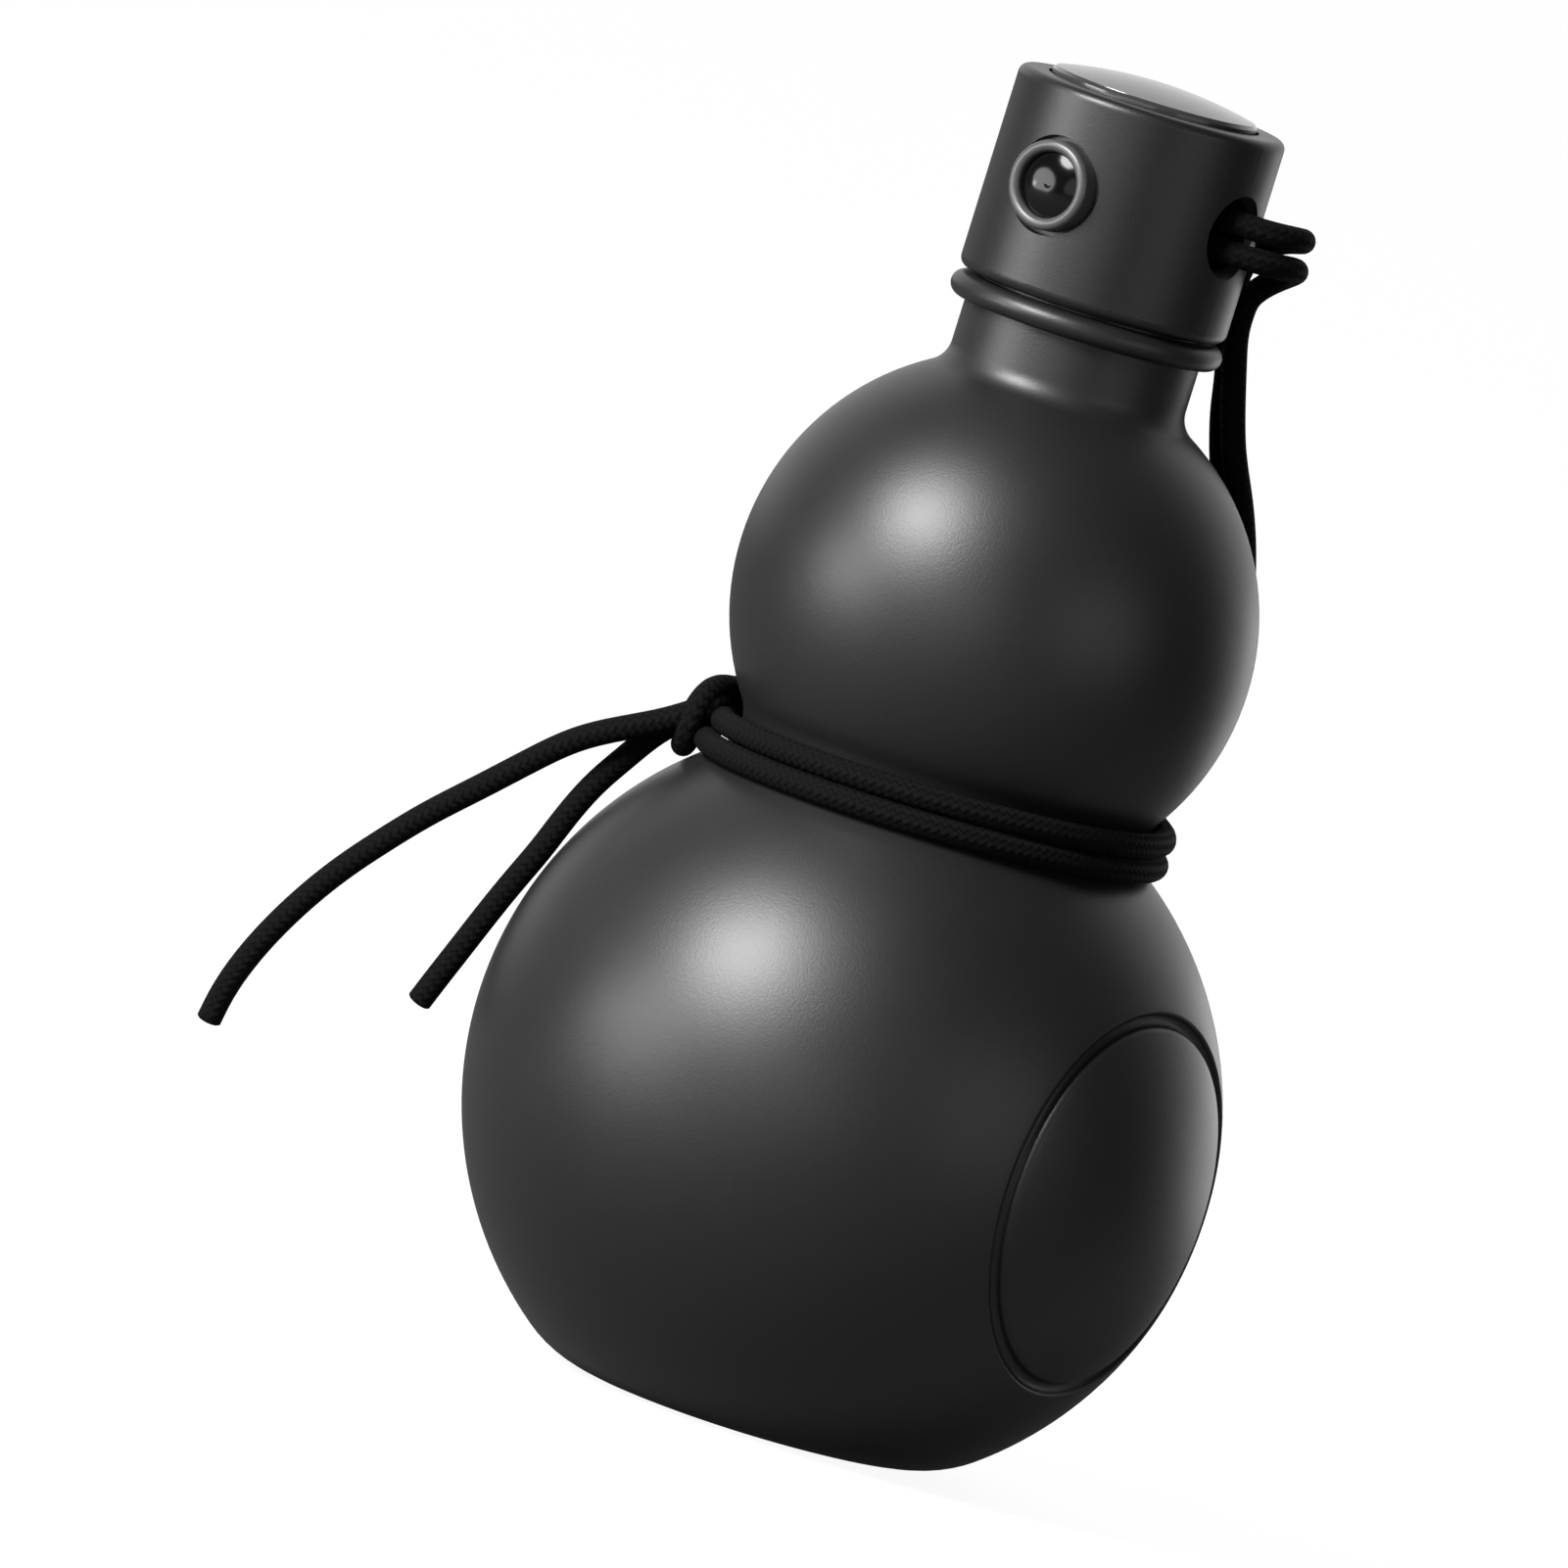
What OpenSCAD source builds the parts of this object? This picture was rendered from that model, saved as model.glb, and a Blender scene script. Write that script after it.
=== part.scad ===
// Gourd water bottle with a screw stopper cap, a sprung cord lock and a tie cord.
// Millimetres. +Z is up, the origin is the middle of the base, and the button faces -Y.

/* [Bottle body] */
// Diameter of the lower ball of the gourd
lower_d = 90; // [84:1:96]
// Diameter of the upper ball of the gourd
upper_d = 62.6; // [58:0.2:66]
// How far the two balls run into each other
ball_overlap = 15.5; // [14:0.5:17]
// Radius of the hollow fillet at the waist
waist_fillet = 5; // [4:0.5:6]
// Height by which the flat base cuts the lower ball
base_cut = 6.4; // [6:0.1:7]
// Diameter of the flat of the base
base_d = 37; // [34:0.5:38]
// Diameter of the raised middle of the base
push_up_d = 26; // [22:1:28]
// Height of the raised middle of the base
push_up_h = 1.5; // [1:0.1:2]
// Wall thickness of the moulded body
wall = 2; // [1.6:0.1:2.4]

/* [Thumb recess] */
// Diameter of the round recess in the lower ball
recess_d = 47.8; // [40:0.2:50]
// Depth to which the recess panel is sunk
recess_depth = 0.9; // [0.6:0.1:1.1]
// Width of the groove round the recess panel
groove_w = 2.3; // [1.8:0.1:2.6]
// Depth of that groove below the ball's surface
groove_depth = 1.5; // [1.3:0.1:1.7]
// Angle by which the recess is turned back from the side of the cord hole
recess_turn = 2; // [0:0.5:4]

/* [Neck] */
// Outer diameter of the neck
neck_d = 28.9; // [28:0.1:30]
// Fillet between the upper ball and the neck
neck_fillet = 3.5; // [2.5:0.5:4.5]
// Straight part of the neck below its collar
neck_len = 5.4; // [4:0.2:8]
// Bore of the neck
bore_d = 23.2; // [22:0.2:24]
// Outer diameter of the collar under the cap
collar_d = 33.4; // [32:0.2:34.5]
// Height of the collar
collar_h = 3; // [2.6:0.2:3.6]
// Thickness of the lip that stands inside the cap
lip_wall = 2; // [1.6:0.1:2.2]
// Height of the lip above the collar
lip_h = 1.9; // [1.5:0.1:2.5]

/* [Cap] */
// Outer diameter of the cap
cap_d = 32.8; // [32.4:0.2:35]
// Height of the cap
cap_h = 25.1; // [24.8:0.1:28]
// Wall thickness of the cap
cap_wall = 2.4; // [2.2:0.1:2.5]
// Thickness of the cap's top
deck_t = 2.2; // [2:0.1:2.6]
// Gap between the collar and the cap
cap_gap = 0.4; // [0.3:0.1:0.8]
// Rounding of the cap's upper edge
cap_edge = 1.1; // [0.6:0.1:1.4]
// Rounding of the cap's lower edge
cap_foot_edge = 1.3; // [0.8:0.1:1.5]
// Diameter of the disc in the cap's top
disc_d = 25.2; // [22:0.2:26]
// Gap round the disc
disc_gap = 0.4; // [0.2:0.1:0.6]
// Depth of the disc's seat
disc_seat = 1.2; // [1:0.1:1.3]
// Height of the disc above the rim
disc_proud = 2.3; // [1.8:0.1:2.6]
// Rise of the disc from its edge to its middle
disc_crown = 1.5; // [1:0.1:1.8]

/* [Stopper] */
// Thickness of the sealing washer
seal_t = 1.5; // [1.2:0.1:2]
// Thickness of the stopper's flange
flange_t = 1.6; // [1.4:0.1:2]
// Length of the stopper's stem
stem_len = 10.5; // [9:0.5:12]
// Wall thickness of the stem
stem_wall = 1.8; // [1.5:0.1:2.2]
// Clearance between the stem and the neck's bore, where the threads lie
stem_gap = 0.4; // [0.3:0.1:0.6]

/* [Cord lock] */
// Height of the button and the cord hole above the cap's foot
lock_h = 13.2; // [13:0.1:14]
// Diameter of the button
button_d = 7.8; // [7:0.1:8.2]
// Running clearance of the button and its shaft
run_gap = 0.08; // [0.05:0.01:0.1]
// Outer diameter of the ring round the button
bezel_d = 10.8; // [10.4:0.1:11.2]
// Height of that ring above the cap
bezel_proud = 1.3; // [0.8:0.1:1.6]
// Diameter of the flat seat cut for the ring
bezel_seat_d = 12; // [11.6:0.1:12.6]
// Depth of that seat
bezel_seat_depth = 1.4; // [1.2:0.1:1.6]
// Travel of the button
press = 2; // [1.5:0.1:2.2]
// Height of the button's dome
dome_h = 0.6; // [0.5:0.1:1.2]
// Depth of the dome's top below the front of the ring
dome_sink = 0.4; // [0.3:0.1:0.8]
// Diameter of the button's shaft
shaft_d = 4; // [3.6:0.1:4.2]
// Thickness of the walls of the lock's frame
frame_t = 1.5; // [1.2:0.1:1.8]
// Width of the lock's frame
frame_w = 12; // [10:0.5:14]
// Wire diameter of the button's spring
spring_wire = 0.5; // [0.4:0.05:0.6]
// Turns of the button's spring
spring_turns = 6; // [5:1:7]
// Diameter of the hole that the cord leaves through
cord_hole_d = 8.8; // [8.4:0.1:9]

/* [Cord] */
// Diameter of the cord
cord_d = 3; // [2.8:0.1:3.1]
// Diameter of the cord where it is drawn tight round the waist
tie_d = 2.6; // [2.4:0.1:2.6]
// Climb of the tie in one turn
tie_pitch = 3.05; // [3.05:0.01:3.1]
// Radius of the tie's middle line
tie_r = 27; // [26.8:0.1:27.4]
// Height of the tie's upper turn in front, above the waist
tie_rise = 0.3; // [0.1:0.05:0.5]

/* [Hidden] */
$fn = 96;

far = 200;                      // larger than the bottle, for cutting tools
soft_gap = 0.3;                 // room between the cord and what it lies on
cord_gap = 0.5;                 // room between two pieces of the same cord, end to end
slip = 0.1;                     // room between parts that slide past the cord
lower_r = lower_d / 2;
upper_r = upper_d / 2;
base_r = base_d / 2;
neck_r = neck_d / 2;
bore_r = bore_d / 2;
lower_z = lower_r - base_cut;
upper_z = lower_z + lower_r + upper_r - ball_overlap;
base_fillet = (pow(lower_r, 2) - pow(base_r, 2) - pow(lower_z, 2)) / (2 * (lower_r - lower_z));
push_up_r = (pow(push_up_d / 2, 2) + pow(push_up_h, 2)) / (2 * push_up_h);

// Centre of the waist fillet: it touches both balls from outside
waist_far_l = lower_r + waist_fillet;
waist_far_u = upper_r + waist_fillet;
balls_apart = upper_z - lower_z;
waist_up = (pow(waist_far_l, 2) - pow(waist_far_u, 2) + pow(balls_apart, 2)) / (2 * balls_apart);
waist_z = lower_z + waist_up;
waist_x = sqrt(pow(waist_far_l, 2) - pow(waist_up, 2));

// Height where a fillet of radius f meets a neck of radius n above a ball of radius r
function shoulder_z(r, n, f) = upper_z + sqrt(pow(r + f, 2) - pow(n + f, 2));

collar_z = shoulder_z(upper_r, neck_r, neck_fillet) + neck_len;
lip_r = bore_r + lip_wall;
lip_z = collar_z + collar_h + lip_h;
cap_z = collar_z + collar_h + cap_gap;
cap_r = cap_d / 2;
cap_in = cap_r - cap_wall;
cap_top = cap_z + cap_h;
flange_z = lip_z + seal_t;
flange_top = flange_z + flange_t;
stem_r = bore_r - stem_gap;
lock_z = cap_z + lock_h;
cord_r = cord_d / 2;
tie_rad = tie_d / 2;

button_r = button_d / 2;
bezel_bore = button_r + run_gap;
bezel_front = -(cap_r + bezel_proud);
bezel_floor = -(cap_r - bezel_seat_depth);
bezel_back = bezel_floor + 2.4;
sleeve_r = bezel_bore + 0.72;
dome_front = bezel_front + dome_sink;
dome_r = (pow(button_r, 2) + pow(dome_h, 2)) / (2 * dome_h);
head_back = bezel_back + 0.2;
shaft_r = shaft_d / 2;
tip_r = shaft_r - 0.5;
wall_in = -(cord_r + slip);             // inner face of the frame's front wall
wall_out = wall_in - frame_t;
collar_front = cord_r + slip;
collar_t = 1.4;
rear_in = collar_front + collar_t + press + 0.4;
rear_out = rear_in + frame_t;
clip_t = 0.7;
spring_r = shaft_r + 0.6 + spring_wire / 2;
loop_r = shaft_r + soft_gap + cord_r;    // the cord's bend round the shaft
strand_up = cord_r + 0.35;               // half the spacing of the two strands in the hole

// Radius at which a strand of radius s lies clear of the body at height z
function over_lower(z, s) = sqrt(pow(lower_r + s, 2) - pow(z - lower_z, 2));
function over_upper(z, s) = sqrt(pow(upper_r + s, 2) - pow(upper_z - z, 2));
function over_waist(z, s) = waist_x - sqrt(pow(waist_fillet - s, 2) - pow(z - waist_z, 2));
function seat_low(s) = lower_z + (lower_r + s) * waist_up / waist_far_l;
function seat_high(s) = upper_z - (upper_r + s) * (balls_apart - waist_up) / waist_far_u;
function seat_r(z, s) = z < seat_low(s) ? over_lower(z, s)
                      : z > seat_high(s) ? over_upper(z, s)
                      : over_waist(z, s);

// A point at azimuth a, counted from the front towards +X, at radius r and height z
function around(a, r, z) = [r * sin(a), -r * cos(a), z];

function unit(v) = v / norm(v);
function heading(p, i) =
    i == 0 ? unit(p[1] - p[0])
    : i == len(p) - 1 ? unit(p[i] - p[i - 1])
    : unit(unit(p[i + 1] - p[i]) + unit(p[i] - p[i - 1]));
function sideways(t) = unit(cross(t, abs(t.z) < 0.9 ? [0, 0, 1] : [1, 0, 0]));
function level(n, t) = unit(n - (n * t) * t);
// Normals carried along the path without twist
function carried(p, i, n) =
    i == len(p) ? []
    : let (m = i == 0 ? sideways(heading(p, 0)) : level(n, heading(p, i)))
      concat([m], carried(p, i + 1, m));

// Points of a round tube of radius r along the path p, ring after ring
function tube_points(p, r, sides) =
    let (n = carried(p, 0, [0, 0, 0]))
    [for (i = [0 : len(p) - 1])
        let (b = cross(heading(p, i), n[i]))
        for (k = [0 : sides - 1])
            let (a = 360 * (k + 0.5) / sides)
            p[i] + r * (cos(a) * n[i] + sin(a) * b)];

// A solid tube along the path p, in triangles
module tube(p, r, sides) {
    rings = len(p);
    last = (rings - 1) * sides;
    skin = [for (i = [0 : rings - 2]) for (k = [0 : sides - 1])
        let (a = i * sides + k, b = i * sides + (k + 1) % sides)
        each [[a, a + sides, b], [b, a + sides, b + sides]]];
    near_end = [for (k = [1 : sides - 2]) [0, k, k + 1]];
    far_end = [for (k = [1 : sides - 2]) [last, last + k + 1, last + k]];
    polyhedron(points = tube_points(p, r, sides), faces = concat(skin, near_end, far_end));
}

// The tie: one strand wound down round the waist, from the right side behind to the knot
tie_sides = 6;
tie_rings = 24;                  // rings in each turn
tie_steps = 36;                  // one turn and a half
tie_from = 122;                  // azimuth where the lead comes in
tie_to = tie_from - 360 * tie_steps / tie_rings;
tie_front = 32;                  // azimuth that the height of the upper turn is given for
function tie_z(a) = waist_z + tie_rise + tie_pitch * (a - tie_front) / 360;
function tie_point(a) =
    let (z = tie_z(a))
    around(a, max(tie_r, seat_r(z, tie_rad + soft_gap)), z);
tie_path = [for (i = [0 : tie_steps]) tie_point(tie_from + (tie_to - tie_from) * i / tie_steps)];

// Least gap of the tie to itself, between points of its middle line half a turn apart or more
tie_gap = min([for (i = [0 : tie_steps]) for (j = [i + tie_rings / 2 : 1 : tie_steps])
    norm(tie_path[i] - tie_path[j])]) - tie_d;
echo("least gap of the tie to itself", tie_gap);

// The cord's routes. Points on the cap are [x, y, height above the button's axis]. Points on the
// bottle are [azimuth, radius, height]. Points of the tails are [radius, sideways, height] in the
// plane where they hang.
upper_turn = [[17.7, 0.8, 1.8], [19.9, 3, 1.8], [20.7, 6, 1.8], [19.9, 9, 1.6],
              [17.4, 12, 1.1], [13.8, 14.8, 0.2], [10.2, 16.6, -1.4], [8.1, 17.5, -3.4],
              [7.4, 17.8, -5.2], [7.2, 17.9, -6.8]];
lower_turn = [[17.7, 0.8, -1.8], [19.9, 3, -1.8], [20.7, 6, -1.8], [20.1, 9, -2],
              [18, 12, -2.7], [14.8, 14.4, -4.2], [12, 15.6, -6.2], [10.8, 15.9, -7.8],
              [10.5, 16, -9.4]];
upper_route = [[158, 19.4, 142], [157, 20, 138.5], [156, 21.3, 134.5], [154.5, 22, 130],
               [153, 22.9, 126], [156, 25.7, 121], [159, 29.4, 115], [161, 32.2, 108.5],
               [161.5, 33.4, 101], [161.5, 33, 94], [161.5, 31.3, 87.5], [162, 29.4, 83.6],
               [164, 28.3, 81.6], [168, 27.6, 80.8]];
lower_route = [[146.7, 19.2, 139.5], [145.2, 19.8, 136], [143.2, 21, 131], [142.3, 22.6, 126],
               [146, 25.6, 121], [151, 29.4, 115], [153.5, 32.2, 108.5], [154, 33.4, 101],
               [154, 33, 94], [154, 31.3, 87.5], [153.5, 29.5, 83.7], [151, 28.5, 81.8],
               [147, 27.8, 80.8], [140, 27.3, 80.3], [131, 27.1, 80.05], [123, 27.1, 79.85]];
back_route = [[169, 27.5, 80.7], [180, 27.3, 80.4], [192, 27.3, 80.5], [204, 27.3, 80.6],
              [217, 27.4, 80.8], [232, 27.5, 81], [247, 27.6, 81.2], [262, 27.8, 81.4],
              [276, 28.1, 81.6], [286, 28.7, 81.7], [294, 29.6, 81.1], [298.5, 30.5, 80]];
long_route = [[33, 1.6, 76.5], [37.5, 1.5, 74], [42.5, 1.2, 71], [47.5, 0.8, 66.5],
              [52.5, 0.4, 61.5], [57, 0, 57], [61, 0, 52.5], [65, 0, 47.5], [68, 0, 43],
              [70.5, 0, 38.5], [72.5, 0, 34], [74, 0, 29], [74.5, 0, 26]];
short_route = [[33.2, -1.6, 75], [36.5, -1.4, 70.5], [39, -1, 66.5], [41.3, -0.5, 61.5],
               [43, 0, 57], [44.9, 0, 52.5], [46.9, 0, 47.5], [48.6, 0, 43], [50.3, 0, 38.5],
               [51.4, 0, 35.5]];
knot_a = 302;                    // azimuth of the knot and of the plane of the tails
knot_at = [31.6, 76.9];          // radius and height of its middle
knot_r = 3.3;
knot_h = 8.4;
cord_sides = 8;
loop_steps = 6;

function on_cap(p) = [p.x, p.y, lock_z + p.z];
function on_bottle(p) = around(p.x, p.y, p.z);
function in_tails(p) = around(knot_a, p.x, p.z) + p.y * [cos(knot_a), sin(knot_a), 0];
// The first point after p on the way to q, with the room between two pieces of cord
function after(p, q) = p + cord_gap * unit(q - p);

// Inside the cap the two strands spread and join in a bend round the button's shaft
loop_path = concat(
    [[14.7, 0, strand_up], [9, 0, strand_up + 0.3], [5, 0, (strand_up + loop_r) / 2 + 0.4]],
    [for (i = [0 : loop_steps]) let (a = 90 + 180 * i / loop_steps)
        [loop_r * cos(a), 0, loop_r * sin(a)]],
    [[5, 0, -(strand_up + loop_r) / 2 - 0.4], [9, 0, -strand_up - 0.3], [14.7, 0, -strand_up]]);
function reversed(p) = [for (i = [len(p) - 1 : -1 : 0]) p[i]];
bight_path = [for (p = concat(reversed(upper_turn), loop_path, lower_turn)) on_cap(p)];
upper_path = let (q = [for (p = upper_route) on_bottle(p)]) concat([after(bight_path[0], q[0])], q);
lower_path = let (q = [for (p = lower_route) on_bottle(p)])
    concat([after(bight_path[len(bight_path) - 1], q[0])], q);

// Half profile of the gourd, set in by s from the outer skin
module gourd_2d(s, neck, top) {
    foot = [base_r, base_fillet];
    shoulder = neck_fillet + s;
    sz = shoulder_z(upper_r - s, neck, shoulder);
    difference() {
        union() {
            difference() {
                translate([0, lower_z]) circle(lower_r - s);
                polygon([foot, [base_r, -far], foot + far * unit(foot - [0, lower_z])]);
                translate([-far, s - far]) square([far + base_r, far]);
            }
            translate(foot) circle(base_fillet - s);
            translate([0, s]) square([base_r, lower_z - s]);
            translate([0, upper_z]) circle(upper_r - s);
            difference() {
                polygon([[0, lower_z], [waist_x, waist_z], [0, upper_z]]);
                translate([waist_x, waist_z]) circle(waist_fillet + s);
            }
            difference() {
                polygon([[0, upper_z], [neck + shoulder, sz], [0, sz]]);
                translate([neck + shoulder, sz]) circle(shoulder);
            }
            translate([0, sz]) square([neck, top - sz]);
        }
        translate([-far, -far]) square([far, 2 * far]);
        translate([0, push_up_h - push_up_r]) circle(push_up_r + s);
    }
}

module collar_2d() {
    round_r = collar_h / 2;
    translate([0, collar_z]) square([collar_d / 2 - round_r, collar_h]);
    translate([collar_d / 2 - round_r, collar_z + round_r]) circle(round_r);
    translate([0, collar_z]) square([lip_r, lip_z - collar_z]);
}

// Solid beyond a sphere of radius r inside a cylinder of radius q, both on the recess's axis
module beyond(r, q) {
    translate([0, 0, lower_z]) rotate([0, 90, recess_turn]) rotate_extrude() difference() {
        translate([0, lower_r / 2]) square([q, lower_r]);
        circle(r);
    }
}

// The round panel, sunk and as crowned as the ball, with a half-round groove at its edge
module thumb_recess() {
    groove_r = groove_w / 2;
    panel_r = recess_d / 2 - groove_r;
    deep = lower_r - groove_depth + groove_r;
    beyond(lower_r - recess_depth, panel_r);
    translate([0, 0, lower_z]) rotate([0, 90, recess_turn]) rotate_extrude()
        translate([panel_r, sqrt(pow(deep, 2) - pow(panel_r, 2))]) circle(groove_r);
}

module bottle_body() {
    color([0.13, 0.13, 0.135]) difference() {
        rotate_extrude() {
            gourd_2d(0, neck_r, collar_z);
            collar_2d();
        }
        difference() {
            rotate_extrude() gourd_2d(wall, bore_r, lip_z + 1);
            beyond(lower_r - wall - groove_depth, recess_d / 2 + wall);
        }
        thumb_recess();
    }
}

// Half profile of a turned side wall with both edges rounded
module rounded_2d(r, z0, z1, foot, head) {
    translate([0, z0]) square([r - foot, z1 - z0]);
    translate([0, z0 + foot]) square([r - head, z1 - z0 - foot]);
    translate([0, z0 + foot]) square([r, z1 - z0 - foot - head]);
    translate([r - foot, z0 + foot]) circle(foot);
    translate([r - head, z1 - head]) circle(head);
}

// Places children drawn along +Z so that they run along +Y through the button's axis
module on_lock_axis() {
    translate([0, 0, lock_z]) rotate([-90, 0, 0]) children();
}

disc_stem_r = 2.4;
disc_stem_len = 2.4;
snug = 0.05;                     // room between pieces that are pushed together

module cap_shell() {
    hole_r = cord_hole_d / 2;
    color([0.14, 0.14, 0.145]) difference() {
        rotate_extrude() difference() {
            rounded_2d(cap_r, cap_z, cap_top, cap_foot_edge, cap_edge);
            translate([0, cap_z - 1]) square([cap_in, cap_h - deck_t + 1]);
            translate([0, cap_top - disc_seat]) square([disc_d / 2 + disc_gap, far]);
            translate([0, cap_z]) square([disc_stem_r + snug, far]);
            translate([-far, 0]) square([far, far]);
        }
        on_lock_axis() translate([0, 0, -far]) cylinder(r = bezel_seat_d / 2, h = far + bezel_floor);
        on_lock_axis() translate([0, 0, -far]) cylinder(r = sleeve_r + snug, h = far);
        translate([0, 0, lock_z]) rotate([0, 90, 0]) {
            cylinder(r = hole_r, h = far);
            translate([0, 0, cap_r - 1.5]) cylinder(r1 = hole_r, r2 = hole_r + 1, h = 2);
        }
    }
}

module top_disc() {
    crown_r = (pow(disc_d / 2, 2) + pow(disc_crown, 2)) / (2 * disc_crown);
    top = cap_top + disc_proud;
    bevel = 0.35;
    color([0.3, 0.3, 0.31]) rotate_extrude() {
        intersection() {
            translate([0, top - crown_r]) circle(crown_r, $fn = 720);
            polygon([[0, cap_top - disc_seat], [disc_d / 2, cap_top - disc_seat],
                     [disc_d / 2, top - disc_crown - bevel], [disc_d / 2 - bevel, top - disc_crown + 0.02],
                     [disc_d / 2 - 1, top], [0, top]]);
        }
        translate([0, cap_top - disc_seat - disc_stem_len]) square([disc_stem_r, disc_stem_len + 0.2]);
    }
}

module cap_stopper() {
    color([0.2, 0.2, 0.205]) rotate_extrude() {
        translate([0, flange_z]) square([cap_in - snug, flange_t]);
        translate([stem_r - stem_wall, flange_z - stem_len]) square([stem_wall, stem_len + 0.2]);
    }
}

module cap_seal() {
    color([0.75, 0.75, 0.73]) rotate_extrude()
        translate([stem_r + slip, lip_z]) square([lip_r - stem_r - slip, seal_t]);
}

module lock_frame() {
    plate_t = 1.4;
    frame_top = lock_z + loop_r + cord_r + 0.7;
    color([0.32, 0.32, 0.33]) difference() {
        union() {
            translate([-frame_w / 2, wall_out, flange_top])
                cube([frame_w, rear_out - wall_out, plate_t]);
            for (y = [wall_out, rear_in])
                translate([-frame_w / 2, y, flange_top])
                    cube([frame_w, frame_t, frame_top - flange_top]);
        }
        on_lock_axis() translate([0, 0, -far]) cylinder(r = shaft_r + run_gap, h = far);
        on_lock_axis() cylinder(r = tip_r + run_gap, h = far);
    }
}

module button_bezel() {
    round_r = (bezel_d / 2 - bezel_bore) / 2;
    color([0.2, 0.2, 0.205]) on_lock_axis() rotate_extrude() {
        translate([bezel_bore + round_r, bezel_front + round_r]) circle(round_r, $fn = 48);
        translate([bezel_bore, bezel_front + round_r])
            square([2 * round_r, bezel_floor - bezel_front - round_r]);
        translate([bezel_bore, bezel_floor - 0.2])
            square([sleeve_r - bezel_bore, bezel_back - bezel_floor + 0.2]);
    }
}

module button() {
    shaft_end = rear_out + slip + clip_t + 0.6;
    color([0.03, 0.03, 0.03]) on_lock_axis() rotate_extrude() {
        intersection() {
            translate([0, dome_front + dome_r]) circle(dome_r);
            translate([0, dome_front]) square([button_r, dome_h]);
        }
        translate([0, dome_front + dome_h]) square([button_r, head_back - dome_front - dome_h]);
        translate([0, head_back]) square([shaft_r, collar_front - head_back]);
        translate([0, collar_front]) square([tip_r, shaft_end - collar_front]);
    }
}

module clamp_collar() {
    color([0.6, 0.6, 0.62]) on_lock_axis() translate([0, 0, collar_front]) difference() {
        cylinder(r = loop_r + cord_r - 0.2, h = collar_t);
        translate([0, 0, -1]) cylinder(r = tip_r + snug, h = collar_t + 2);
    }
}

// A spring clip with a mouth as wide as the shaft's tip
module shaft_clip() {
    color([0.7, 0.7, 0.72]) on_lock_axis() translate([0, 0, rear_out + slip]) difference() {
        cylinder(r = tip_r + 1.4, h = clip_t);
        translate([0, 0, -1]) cylinder(r = tip_r + snug, h = clip_t + 2);
        translate([-tip_r * 0.7, 0, -1]) cube([tip_r * 1.4, far, clip_t + 2]);
    }
}

module button_spring() {
    rings = 8;
    low = head_back + spring_wire / 2 + snug;
    high = wall_out - spring_wire / 2 - snug;
    path = [for (i = [0 : rings * spring_turns])
        let (a = 360 * i / rings)
        [spring_r * cos(a), low + (high - low) * i / (rings * spring_turns), lock_z + spring_r * sin(a)]];
    color([0.75, 0.75, 0.77]) tube(path, spring_wire / 2, 6);
}

module cord_bight() {
    color([0.06, 0.06, 0.06]) tube(bight_path, cord_r, cord_sides);
}

module upper_lead() {
    color([0.06, 0.06, 0.06]) tube(upper_path, cord_r, cord_sides);
}

module lower_lead() {
    color([0.06, 0.06, 0.06]) tube(lower_path, cord_r, cord_sides);
}

module waist_tie() {
    color([0.06, 0.06, 0.06]) tube(tie_path, tie_rad, tie_sides);
}

module back_tie() {
    color([0.06, 0.06, 0.06]) tube([for (p = back_route) on_bottle(p)], tie_rad, cord_sides);
}

module knot() {
    color([0.06, 0.06, 0.06]) translate(around(knot_a, knot_at.x, knot_at.y)) rotate_extrude()
        intersection() {
            union() {
                translate([0, knot_h / 2 - knot_r]) circle(knot_r);
                translate([0, knot_r - knot_h / 2]) circle(knot_r);
                translate([0, knot_r - knot_h / 2]) square([knot_r, knot_h - 2 * knot_r]);
            }
            translate([0, -far]) square([far, 2 * far]);
        }
}

module tail_long() {
    color([0.06, 0.06, 0.06]) tube([for (p = long_route) in_tails(p)], cord_r, cord_sides);
}

module tail_short() {
    color([0.06, 0.06, 0.06]) tube([for (p = short_route) in_tails(p)], cord_r, cord_sides);
}

bottle_body();
cap_shell();
top_disc();
cap_stopper();
cap_seal();
lock_frame();
button_bezel();
button();
clamp_collar();
shaft_clip();
button_spring();
cord_bight();
upper_lead();
lower_lead();
waist_tie();
back_tie();
knot();
tail_long();
tail_short();
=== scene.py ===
# %% [markdown]
# # A gourd water bottle
#
# The bottle is one moulded shell of two balls. A screw cap with a sprung cord lock closes it, and a
# black cord runs from the lock down to the waist, where it is tied. The rigid pieces come from the
# frame. This script gives them their finishes and makes what a solid model leaves out: the cord's
# braid, its knot and tails, the screw threads and a smooth spring.

import bmesh
import bpy
import numpy as np
from mathutils import Matrix, Vector


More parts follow.
